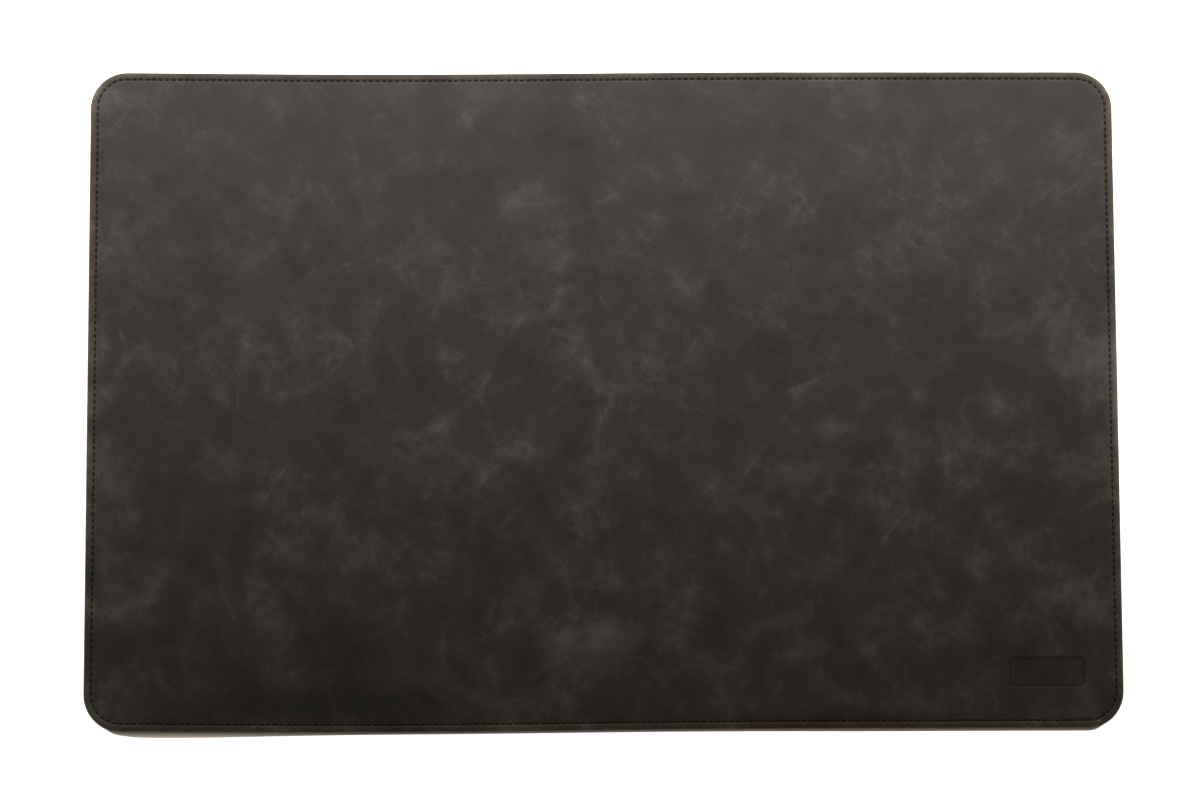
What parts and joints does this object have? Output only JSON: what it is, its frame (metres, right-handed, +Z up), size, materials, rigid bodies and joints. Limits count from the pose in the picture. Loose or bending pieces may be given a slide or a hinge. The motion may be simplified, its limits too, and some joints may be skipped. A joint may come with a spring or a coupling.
{
  "type": "desk pad",
  "caption": "Flat desk pad with round corners: mottled charcoal leather over a stiff board and a suede backing, sewn all round. It lies on a desk to write and work on.",
  "frame": {"origin": "middle of the underside, on the desk", "axes": "+X along the long side, to the right of the person at the desk, +Y away from that person, +Z up out of the writing face"},
  "size_m": [0.7, 0.45, 0.004],
  "materials": {
    "charcoal_leather": "matte",
    "leather_board": "matte",
    "dark_suede": "matte",
    "black_thread": "satin",
    "edge_paint": "satin"
  },
  "bodies": {
    "root": {"face_leather": "charcoal_leather", "core_board": "leather_board", "backing_suede": "dark_suede", "needle_thread": "black_thread", "bobbin_thread": "black_thread", "edge_paint": "edge_paint"}
  },
  "joints": []
}
